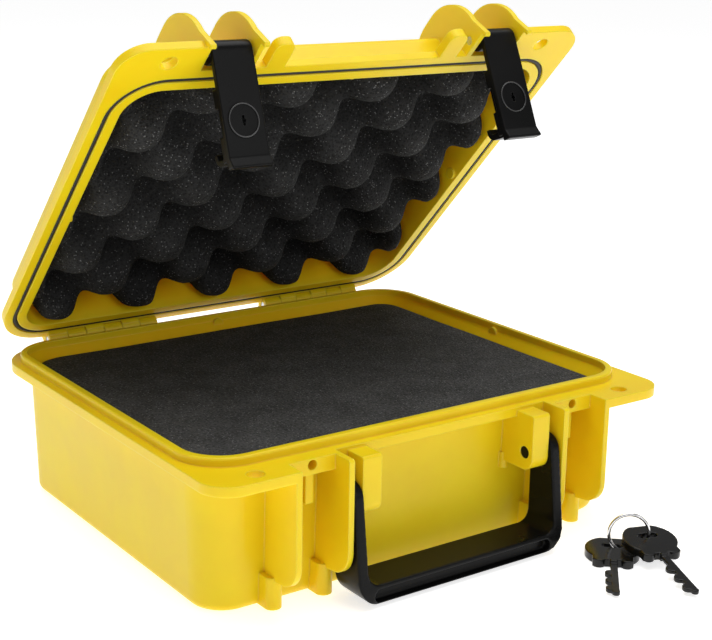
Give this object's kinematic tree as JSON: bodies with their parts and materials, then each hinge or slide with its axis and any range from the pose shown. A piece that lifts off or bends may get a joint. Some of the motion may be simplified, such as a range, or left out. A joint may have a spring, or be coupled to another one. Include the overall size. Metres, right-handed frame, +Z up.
{
  "type": "protective case",
  "caption": "Hard protective case with foam lining, hinged lid standing open, locking latches, padlock ears, folding handle and keys.",
  "frame": {"origin": "centre of the base's underside", "axes": "+Z up, -Y towards the latch and handle side, +X to the right seen from that side"},
  "size_m": [0.256, 0.3106, 0.2502],
  "materials": {
    "yellow_shell": "satin moulded polypropylene",
    "black_plastic": "satin moulded nylon",
    "lock_black": "satin black",
    "key_black": "satin black",
    "foam": "open-cell foam",
    "gasket": "matt",
    "steel": "bright zinc"
  },
  "bodies": {
    "base": {"base_shell": "yellow_shell", "base_foam_pad": "foam", "base_foam_block": "foam", "hinge_pin_left": "steel", "hinge_pin_right": "steel", "handle_pin_left": "black_plastic", "handle_pin_right": "black_plastic"},
    "lid": {"lid_shell": "yellow_shell", "lid_gasket": "gasket", "lid_foam": "foam"},
    "handle": {"handle": "black_plastic"},
    "latch_pin_left": {"latch_pin_left": "steel"},
    "latch_pin_right": {"latch_pin_right": "steel"},
    "latch_left": {"latch_left": "black_plastic", "lock_body_left": "lock_black"},
    "latch_right": {"latch_right": "black_plastic", "lock_body_right": "lock_black"},
    "lock_left": {"lock_plug_left": "lock_black", "lock_cam_left": "steel", "cam_screw_left": "steel"},
    "lock_right": {"lock_plug_right": "lock_black", "lock_cam_right": "steel", "cam_screw_right": "steel"},
    "keys": {"key_left": "key_black", "key_right": "key_black", "key_ring": "steel"}
  },
  "joints": [
    {"name": "lid_hinge", "type": "hinge", "parent": "base", "child": "lid", "pos_m": [0, 0.1065, 0.07215], "axis": [-1, 0, 0], "range_deg": [-46, 44]},
    {"name": "handle_swing", "type": "hinge", "parent": "base", "child": "handle", "pos_m": [0, -0.1125, 0.0495], "axis": [-1, 0, 0], "range_deg": [0, 95]},
    {"name": "latch_pin_left_turn", "type": "hinge", "parent": "lid", "child": "latch_pin_left", "pos_m": [-0.07475, -0.04128, 0.23403], "axis": [1, 0, 0], "range_deg": [-46, 44]},
    {"name": "latch_left_swing", "type": "hinge", "parent": "latch_pin_left", "child": "latch_left", "pos_m": [-0.07475, -0.04128, 0.23403], "axis": [-1, 0, 0], "range_deg": [-18, 100]},
    {"name": "lock_left_turn", "type": "hinge", "parent": "latch_left", "child": "lock_left", "pos_m": [-0.07475, -0.0507, 0.20502], "axis": [0, 0.9511, -0.309], "range_deg": [0, 90]},
    {"name": "latch_pin_right_turn", "type": "hinge", "parent": "lid", "child": "latch_pin_right", "pos_m": [0.07475, -0.04128, 0.23403], "axis": [1, 0, 0], "range_deg": [-46, 44]},
    {"name": "latch_right_swing", "type": "hinge", "parent": "latch_pin_right", "child": "latch_right", "pos_m": [0.07475, -0.04128, 0.23403], "axis": [-1, 0, 0], "range_deg": [-24, 100]},
    {"name": "lock_right_turn", "type": "hinge", "parent": "latch_right", "child": "lock_right", "pos_m": [0.07475, -0.05368, 0.20617], "axis": [0, 0.9135, -0.4067], "range_deg": [0, 90]},
    {"name": "keys_lift", "type": "slide", "parent": "base", "child": "keys", "axis": [0, 0, 1], "range_m": [0, 0.15]}
  ],
  "couplings": [
    {"joint": "latch_pin_left_turn", "follows": "lid_hinge", "ratio": 1},
    {"joint": "latch_pin_right_turn", "follows": "lid_hinge", "ratio": 1}
  ]
}
